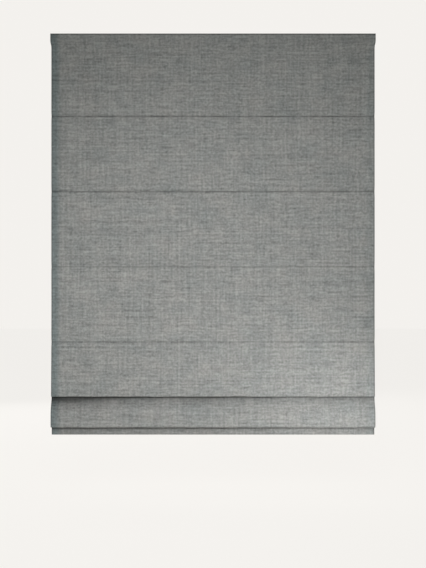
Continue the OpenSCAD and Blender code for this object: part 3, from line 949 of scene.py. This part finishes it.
@dataclass
class Folding:
    """How the hung cloth folds forward between its rods as the blind rises."""

    section: ClothSection
    motion: LiftMotion
    reach: float = 32 * MM
    upper_gap: float = 0.68
    ease: float = 0.94

    def lengths(self) -> list[Length]:
        """Cut the cloth into lengths.

        Returns:
            The lengths from the top edge down to the top of the hem.
        """
        marks = self.section.marks
        cut = [Length("head", 0, marks["crease_0"], ROOT_BODY, "loop_tape")]
        for k in range(1, HUNG_RODS + 1):
            cut += self._hung(k)
        cut.append(self._leg())
        cut.append(Length("folds", marks["stack"], marks["hem_top"], BOTTOM_BODY, "rod_pocket_5"))
        return cut

    def _hung(self, k: int) -> list[Length]:
        """The two lengths between crease k - 1 and crease k, which fold forward at the ridge."""
        marks, drop = self.section.marks, self.section.drop
        above, ridge, below = marks[f"crease_{k - 1}"], marks[f"ridge_{k}"], marks[f"crease_{k}"]
        gap = drop[below] - drop[above] - (self.motion.rise(k) - self.motion.rise(k - 1))
        upper, lower = drop[ridge] - drop[above], drop[below] - drop[ridge]
        left = (gap * self.upper_gap / upper, gap * (1 - self.upper_gap) / lower)
        most = [math.sqrt(f * (1 - f)) * size for f, size in zip(left, (upper, lower))]
        reach = min([self.reach] + [self.ease * m for m in most])
        parts = (
            ("fall", above, ridge, above, left[0], -reach / upper),
            ("rise", ridge, below, below, left[1], reach / lower),
        )
        made = []
        for name, first, last, held, share, lean in parts:
            slope = float(lean / (1 - share))
            keep = float(1 - (1 - share) * (1 + slope * slope))
            body = ROOT_BODY if held == marks["crease_0"] else f"batten_{k - (name == 'fall')}"
            rests = "loop_tape" if body == ROOT_BODY else body.replace("batten", "rod_pocket")
            anchor = (0.0, self.section.face_y, float(self.section.points[held, 1]))
            made.append(Length(f"{name}_{k}", first, last, body, rests, (0.0, slope, 1.0), anchor, keep))
        return made

    def _leg(self) -> Length:
        """The length from the last hung crease down to the gathered folds."""
        marks, section = self.section.marks, self.section
        first, last = marks[f"crease_{HUNG_RODS}"], marks["stack"]
        size = section.drop[last] - section.drop[first]
        keep = float(1 - (self.motion.travel - self.motion.rise(HUNG_RODS)) / size)
        anchor = (0.0, float(section.points[last, 0]), float(section.points[last, 1]))
        return Length("leg", first, last, BOTTOM_BODY, "rod_pocket_5", (0.0, 0.0, 1.0), anchor, keep)


@dataclass(frozen=True)
class Ripple:
    """A smooth random line across a cloth: the wave lengths that it sums and the number of its first draw."""

    waves: tuple[float, ...]
    first: int
    seed_step: ClassVar[int] = 100
    weakest: ClassVar[float] = 0.6
    spread: ClassVar[float] = 0.8

    def at(self, x: np.ndarray, seed: int, number: int = 0) -> np.ndarray:
        """Values of the line.

        Args:
            x: Places across.
            seed: Seed of the cloth.
            number: Which of the lines.

        Returns:
            Values from about -1 to 1.
        """
        draw = np.random.default_rng(seed * self.seed_step + self.first + number)
        total = np.zeros_like(x)
        for wave in self.waves:
            line = np.sin(math.tau * (x / wave + draw.random()))
            total += line * (self.weakest + self.spread * draw.random())
        return total / len(self.waves)


@dataclass(frozen=True)
class FoldShade:
    """Shade on the cloth under a fold: its rows, its fade, its depth and its gain at the left."""

    upper: str
    lower: str
    fade: float
    depth: float
    corner: float = 0.0


@dataclass
class Cloth:
    """A cloth of the blind: swept along the section, cut into lengths and dressed."""

    section: ClothSection
    motion: LiftMotion
    node: str
    slot: str
    seed: int = 11
    billow: float = 1.2 * MM
    wander: float = 0.7 * MM
    droop: float = 0.8 * MM
    turn_fade: float = 3 * MM
    billow_line: Ripple = Ripple((0.62, 0.37, 0.23), 0)
    slant_line: Ripple = Ripple((0.3, 0.17), 20)
    slant: float = 0.3
    slant_share: float = 0.7
    fade_line: Ripple = Ripple((0.21, 0.083, 0.047), 40)
    fade_level: float = 0.8
    fade_sway: float = 0.3
    fade_most: float = 1.2
    wander_line: Ripple = Ripple((0.19, 0.11, 0.06), 50)
    droop_line: Ripple = Ripple((0.45, 0.21, 0.12), 60)
    droop_rows: int = 16
    droop_reach: float = 22 * MM
    # How the painted shade under the folds grows towards the left.
    shade_gain_line: Ripple = Ripple((0.5, 0.23), 70)
    shade_gain_sway: float = 0.2
    shade_gain_lean: float = 0.45
    corner_starts: float = 0.5
    shade_most: float = 1.3
    fold_shades: tuple[FoldShade, ...] = (
        FoldShade("fold_1", "fold_2", 4 * MM, 0.4),
        FoldShade("fold_1", "fold_2", 20 * MM, 0.95, 2.6),
        FoldShade("fold_2", "end", 3 * MM, 0.5),
        FoldShade("fold_2", "end", 60 * MM, 0.34),
    )

    def relief(self, x: np.ndarray) -> tuple[np.ndarray, np.ndarray, np.ndarray]:
        """How far the hung cloth lies off its section.

        Args:
            x: Places across, one row of them for each row of the section.

        Returns:
            Moves along Y and along Z, and the shade of the creases and under the folds.
        """
        s = self.section
        move_y, move_z, shade = np.zeros_like(x), np.zeros_like(x), np.zeros_like(x)
        number = np.arange(len(x))
        starts = [s.head_drop] + s.crease_d
        ends = s.crease_d + [s.crease_d[-1] + s.fold_1_leg]
        for k, (start, end) in enumerate(zip(starts, ends)):
            t = np.clip((s.drop - start) / (end - start), 0.0, 1.0) * (number <= s.marks["fold_1"])
            window = (np.sin(math.pi * t) ** 2)[:, None]
            wave = self.billow_line.at(x, self.seed, k)
            slanted = self.slant_line.at(x + self.slant * s.drop[:, None], self.seed, k)
            move_y += self.billow * window * (wave + self.slant_share * slanted)
        for row, k, share in s.creases:
            near = 1 - abs(share)
            pull = s.crease_pull[k - 1]
            fade = self.fade_level + self.fade_sway * self.fade_line.at(x[row], self.seed, k)
            move_z[row] += self.wander * near * self.wander_line.at(x[row], self.seed, k)
            move_y[row] += s.crease_depth * pull * near ** s.crease_power * (fade - 1)
            shade[row] = pull * near * np.clip(fade, 0.0, self.fade_most)
        for k, mark in enumerate(("fold_1", "fold_2")):
            low = s.points[s.fold_row(mark), 1]
            rows = np.abs(number - s.fold_row(mark)) <= self.droop_rows
            near = np.exp(-(((s.points[:, 1] - low) / self.droop_reach) ** 2)) * rows
            move_z += self.droop * near[:, None] * self.droop_line.at(x, self.seed, k)
        return move_y, move_z, self._shade_folds(x, shade)

    def _shade_folds(self, x: np.ndarray, shade: np.ndarray) -> np.ndarray:
        """Deepen a shade on the outside of the cloth under each fold, most at the left.

        Args:
            x: Places across, one row of them for each row of the section.
            shade: The shade of the creases.

        Returns:
            The whole shade.
        """
        s = self.section
        number, height = np.arange(len(x)), s.points[:, 1]
        left = -x / s.panel_half
        for fold in self.fold_shades:
            last = min(s.marks[fold.lower], int(np.argmin(height)))
            under = (number > s.marks[fold.upper]) & (number <= last)
            below = np.clip(height[s.fold_row(fold.upper)] - height, 0.0, None)
            # The painted shade under the folds is deeper towards the left.
            shade_gain = 1 + self.shade_gain_lean * left + self.shade_gain_sway * self.shade_gain_line.at(x, self.seed)
            shade_gain = shade_gain + fold.corner * np.clip(left - self.corner_starts, 0.0, None)
            depth = under * np.exp(-below / fold.fade) * fold.depth
            shade = np.minimum(shade + depth[:, None] * shade_gain, self.shade_most)
        return shade

    def sweep(self, strip: Strip) -> tuple[np.ndarray, np.ndarray, np.ndarray]:
        """Carry a cross-section along every row.

        Args:
            strip: The cross-section.

        Returns:
            Places and normals, each for both faces by row and column, and the shade of the creases.
        """
        s = self.section
        reach = (s.half_widths() - strip.edge)[:, None] * strip.share
        move_y, move_z, shade = self.relief(reach)
        sides = []
        for shift, depth in zip(strip.shift, strip.depth):
            y = s.points[:, :1] + s.back[:, :1] * depth
            z = s.points[:, 1:] + s.back[:, 1:] * depth
            sides.append(np.dstack([reach + shift, y + move_y, z + move_z]))
        normals = []
        for side, sign in zip(sides, (1.0, -1.0)):
            normal = sign * np.cross(np.gradient(side, axis=0), np.gradient(side, axis=1))
            normals.append(normal / np.linalg.norm(normal, axis=2, keepdims=True))
        return np.array(sides), np.array(normals), shade

    def mesh(self, name: str, strip: Strip, first: int, last: int) -> bpy.types.Object:
        """Make one length as a closed mesh with its own maps.

        Args:
            name: Name of the piece.
            strip: The cross-section.
            first: First row.
            last: Last row.

        Returns:
            The object.
        """
        places, normals, shade = self.sweep(strip)
        rows, columns = last - first + 1, len(strip.share)
        face, back = np.arange(2 * rows * columns).reshape(2, rows, columns)
        quads = [
            np.stack([face[:-1, :-1], face[1:, :-1], face[1:, 1:], face[:-1, 1:]], -1),
            np.stack([back[:-1, :-1], back[:-1, 1:], back[1:, 1:], back[1:, :-1]], -1),
            np.stack([face[:-1, 0], back[:-1, 0], back[1:, 0], face[1:, 0]], -1),
            np.stack([face[:-1, -1], face[1:, -1], back[1:, -1], back[:-1, -1]], -1),
            np.stack([face[0, :-1], face[0, 1:], back[0, 1:], back[0, :-1]], -1),
            np.stack([face[-1, :-1], back[-1, :-1], back[-1, 1:], face[-1, 1:]], -1),
        ]
        cut = slice(first, last + 1)
        faces = np.concatenate([q.reshape(-1, 4) for q in quads])
        mesh = bpy.data.meshes.new(name)
        mesh.from_pydata(places[:, cut].reshape(-1, 3).tolist(), [], faces.tolist())
        along = np.broadcast_to(self.section.run[cut, None], (rows, columns))
        across = np.broadcast_to(strip.run, (rows, columns))
        one = np.dstack([across, along, np.zeros((rows, columns))])
        maps = np.stack([one, one + (0.0, 0.0, 1.0)])
        mesh.attributes.new(CLOTH_MAP, "FLOAT_VECTOR", "POINT").data.foreach_set("vector", maps.ravel())
        # Painted shade of the creases and under the folds, on the front only.
        outside = (self.section.panel_half + self.turn_fade - np.abs(strip.run)) / self.turn_fade
        dark = np.stack([shade[cut] * np.clip(outside, 0.0, 1.0), 0 * shade[cut]])
        mesh.attributes.new(SHADE_MAP, "FLOAT", "POINT").data.foreach_set("value", dark.ravel())
        mesh.polygons.foreach_set("use_smooth", [True] * len(mesh.polygons))
        mesh.normals_split_custom_set_from_vertices(normals[:, cut].reshape(-1, 3).tolist())
        piece = bpy.data.objects.new(name, mesh)
        bpy.context.scene.collection.objects.link(piece)
        return piece

    def dress(
        self, piece: bpy.types.Object, length: Length, width: float, material: bpy.types.Material
    ) -> None:
        """Give a length its material and its body, a mesh of its own where it has a fold axis, and hide the solid
        that it stands for.

        Args:
            piece: The mesh.
            length: The length of cloth that it is.
            width: Flat width of the cloth; not used.
            material: The finish.
        """
        piece.data.materials.append(material)
        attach(piece, length.body)
        if length.axis is not None:
            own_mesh(piece)
        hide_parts(self.node)


@dataclass
class FaceCloth(Cloth):
    """The grey face cloth with its side turn-ins and the hem round the bottom bar."""

    node: str = "face_fabric"
    slot: str = "linen"
    side_turn: float = 28 * MM
    columns: int = 60

    def build(self, material: bpy.types.Material) -> None:
        """Make and dress every length of the face cloth."""
        s = self.section
        strip = Strip.turned(s.panel_half, self.side_turn, s, self.columns)
        for length in Folding(s, self.motion).lengths():
            piece = self.mesh(f"face_{length.name}", strip, length.first, length.last)
            self.dress(piece, length, strip.width, material)
        plain = Strip.flat(s.panel_half, 0.0, -s.face_t / 2, s.face_t / 2, self.columns)
        hem = Length("hem", s.marks["hem_top"], s.marks["end"], BOTTOM_BODY, "bottom_bar")
        self.dress(self.mesh("face_hem", plain, hem.first, hem.last), hem, plain.width, material)


@dataclass
class LiningCloth(Cloth):
    """The lining sewn behind the face cloth."""

    node: str = "lining"
    slot: str = "lining_cloth"
    inset: float = 13 * MM
    columns: int = 60

    def build(self, material: bpy.types.Material) -> None:
        """Make and dress every length of the lining."""
        s = self.section
        strip = Strip.flat(s.panel_half, self.inset, s.lining_near, s.lining_far, self.columns)
        for length in Folding(s, self.motion).lengths():
            piece = self.mesh(f"lining_{length.name}", strip, length.first, length.last)
            self.dress(piece, length, strip.width, material)


@dataclass
class LiftCords:
    """The four lift cords, which hang taut from their spools to the hem."""

    motion: LiftMotion
    count: int = 4
    diameter: float = 1.4 * MM
    sides: int = 10
    step: float = 15 * MM

    def build(self, material: bpy.types.Material) -> None:
        """Make and dress each cord, and log its length."""
        for k in range(1, self.count + 1):
            node = f"lift_cord_{k}"
            low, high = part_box(node)
            middle = (low + high) / 2
            size = high[2] - low[2]
            rings = round(size / self.step)
            heights = [high[2] - size * i / rings for i in range(rings + 1)]
            piece = self.tube(f"cord_{k}", middle, heights)
            piece.data.materials.append(material)
            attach(piece, ROOT_BODY)
            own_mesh(piece)
            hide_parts(node)
            LOG.info("%s: cord %.0f mm long", piece.name, size / MM)

    def tube(self, name: str, middle: Vector, heights: Sequence[float]) -> bpy.types.Object:
        """Make an upright tube with a map of angle and length.

        Args:
            name: Name of the piece.
            middle: A point on its line.
            heights: Heights of its rings, from the top down.

        Returns:
            The object.
        """
        radius, n = self.diameter / 2, self.sides
        points, maps = [], []
        for z in heights:
            for i in range(n):
                a = math.tau * i / n
                points.append((middle[0] + radius * math.cos(a), middle[1] + radius * math.sin(a), z))
                maps.append((a, heights[0] - z, 0.0))
        faces = [
            (r * n + i, (r + 1) * n + i, (r + 1) * n + (i + 1) % n, r * n + (i + 1) % n)
            for r in range(len(heights) - 1)
            for i in range(n)
        ]
        faces.append(tuple(range(n)))
        faces.append(tuple(reversed(range(len(points) - n, len(points)))))
        mesh = bpy.data.meshes.new(name)
        mesh.from_pydata(points, [], faces)
        cloth_map = mesh.attributes.new(CLOTH_MAP, "FLOAT_VECTOR", "POINT")
        cloth_map.data.foreach_set("vector", np.array(maps).ravel())
        mesh.polygons.foreach_set("use_smooth", [len(f) == 4 for f in faces])
        piece = bpy.data.objects.new(name, mesh)
        bpy.context.scene.collection.objects.link(piece)
        return piece


@dataclass
class Hardware:
    """The rail, brackets, lift gear and rods, which keep their solids and get their finishes."""

    materials: Mapping[str, bpy.types.Material]

    def dress(self) -> None:
        """Give each solid the material of its slot."""
        for part in frame["record"]["subparts"]:
            slots = frame["nodes"][part["node"]].data.materials
            slots.clear()
            slots.append(self.materials[part["material_slot"]])
            LOG.info("%s: finish %s", part["node"], part["material_slot"])


@dataclass(frozen=True)
class Lamp:
    """One soft area light."""

    name: str
    place: tuple[float, float, float]
    aim: tuple[float, float, float]
    size: tuple[float, float]
    power: float
    spread: float = 180.0
    in_gloss: bool = True

    def build(self) -> None:
        """Add the light to the scene."""
        data = bpy.data.lights.new(self.name, "AREA")
        data.shape = "RECTANGLE"
        data.size, data.size_y = self.size
        data.energy = self.power
        data.spread = math.radians(self.spread)
        lamp = bpy.data.objects.new(self.name, data)
        lamp.location = self.place
        lamp.rotation_mode = "QUATERNION"
        lamp.rotation_quaternion = (Vector(self.aim) - Vector(self.place)).to_track_quat("-Z", "Y")
        lamp.visible_camera = False
        lamp.visible_glossy = self.in_gloss
        bpy.context.scene.collection.objects.link(lamp)


@dataclass
class PhotoView:
    """The photograph's camera, from the pixels that the panel spans."""

    section: ClothSection
    frame_px: tuple[int, int] = (426, 568)
    panel_px: float = 323.35
    top_px: float = 33.5
    distance: float = 4.0
    sensor: float = 36.0

    def build(self) -> None:
        """Make the camera, level and square to the panel."""
        per_px = 2 * self.section.panel_half / self.panel_px
        height = self.frame_px[1] * per_px
        data = bpy.data.cameras.new("photo_camera")
        data.sensor_fit = "VERTICAL"
        data.sensor_width = data.sensor_height = self.sensor
        data.lens = self.sensor * self.distance / height
        camera = bpy.data.objects.new("photo_camera", data)
        front = self.section.face_y - self.section.face_t / 2
        middle = self.section.frame.top + self.top_px * per_px - height / 2
        camera.location = (0.0, front - self.distance, middle)
        camera.rotation_euler = (math.pi / 2, 0.0, 0.0)
        bpy.context.scene.collection.objects.link(camera)
        bpy.context.scene.camera = camera
        LOG.info("photo_camera: %.1f mm lens, %.2f m away", data.lens, self.distance)


@dataclass
class Studio:
    """A pale floor, a pale surround and soft lamps, the front ones strongest low and to the right."""

    floor_gap: float = 0.23
    floor_size: float = 30.0
    floor_colour: Colour = (0.8, 0.78, 0.75)
    floor_glow: float = 1.06
    floor_shown: float = 0.9
    pale: Colour = (0.90, 0.88, 0.85)
    shade: Colour = (0.85, 0.895, 0.868)
    around: float = 0.26
    lamps: tuple[Lamp, ...] = (
        Lamp("key_lamp", (0.0, -2.7, 0.0), (0.0, 0.0, -1.3), (1.6, 1.4), 10.2, 65.0),
        Lamp("low_lamp", (1.1, -1.0, -1.5), (0.4, 0.0, -1.42), (0.5, 0.3), 0.5, 40.0),
        Lamp("back_lamp", (-0.9, 2.6, 0.3), (0.0, 0.0, -0.8), (4.2, 3.4), 80.0, in_gloss=False),
    )

    def build(self, low: float) -> None:
        """Set the scene round the blind.

        Args:
            low: Height of the blind's lowest point.
        """
        bpy.context.scene.view_settings.view_transform = "Standard"
        for lamp in self.lamps:
            lamp.build()
        self._surround()
        self._floor(low - self.floor_gap)

    def _surround(self) -> None:
        """Make a world that shows pale and lights softly."""
        world = bpy.data.worlds.new("surround")
        s = Shader(world)
        seen = s.seen()
        strength = seen + (1.0 - seen) * self.around
        colour = s.blend(seen, (*self.shade, 1.0), (*self.pale, 1.0))
        sky = s.node("ShaderNodeBackground", None, {"Color": colour, "Strength": strength})
        s.close("ShaderNodeOutputWorld", sky)
        bpy.context.scene.world = world

    def _floor(self, height: float) -> None:
        """Make the floor, which shows pale and keeps the shadow."""
        half = self.floor_size / 2
        corners = [(-half, -half), (half, -half), (half, half), (-half, half)]
        mesh = bpy.data.meshes.new("floor")
        mesh.from_pydata([(x, y, height) for x, y in corners], [], [(0, 1, 2, 3)])
        s = Shader(bpy.data.materials.new("pale_floor"))
        matt = s.node("ShaderNodeBsdfDiffuse", None, {"Color": (*self.floor_colour, 1.0)})
        light = {"Color": (*self.pale, 1.0), "Strength": self.floor_glow}
        glow = s.node("ShaderNodeEmission", None, light)
        shown = {"Fac": s.seen() * self.floor_shown, "Shader": matt, "Shader_001": glow}
        mixed = s.node("ShaderNodeMixShader", None, shown)
        s.close("ShaderNodeOutputMaterial", mixed)
        mesh.materials.append(s.owner)
        floor = bpy.data.objects.new("floor", mesh)
        bpy.context.scene.collection.objects.link(floor)


def main() -> None:
    """Build the blind and its studio, logging the camera, the cords and the finishes."""
    logging.basicConfig(level=logging.INFO, format="%(name)s %(message)s")
    materials = {slot: finish.material() for slot, finish in FINISHES.items()}
    section, motion = ClothSection(), LiftMotion.read()
    PhotoView(section).build()
    LiftCords(motion).build(materials["cord_braid"])
    FaceCloth(section, motion).build(materials["linen"])
    LiningCloth(section, motion).build(materials["lining_cloth"])
    Hardware(materials).dress()
    Studio().build(section.frame.hem_bottom)


if __name__ == "__main__":
    main()
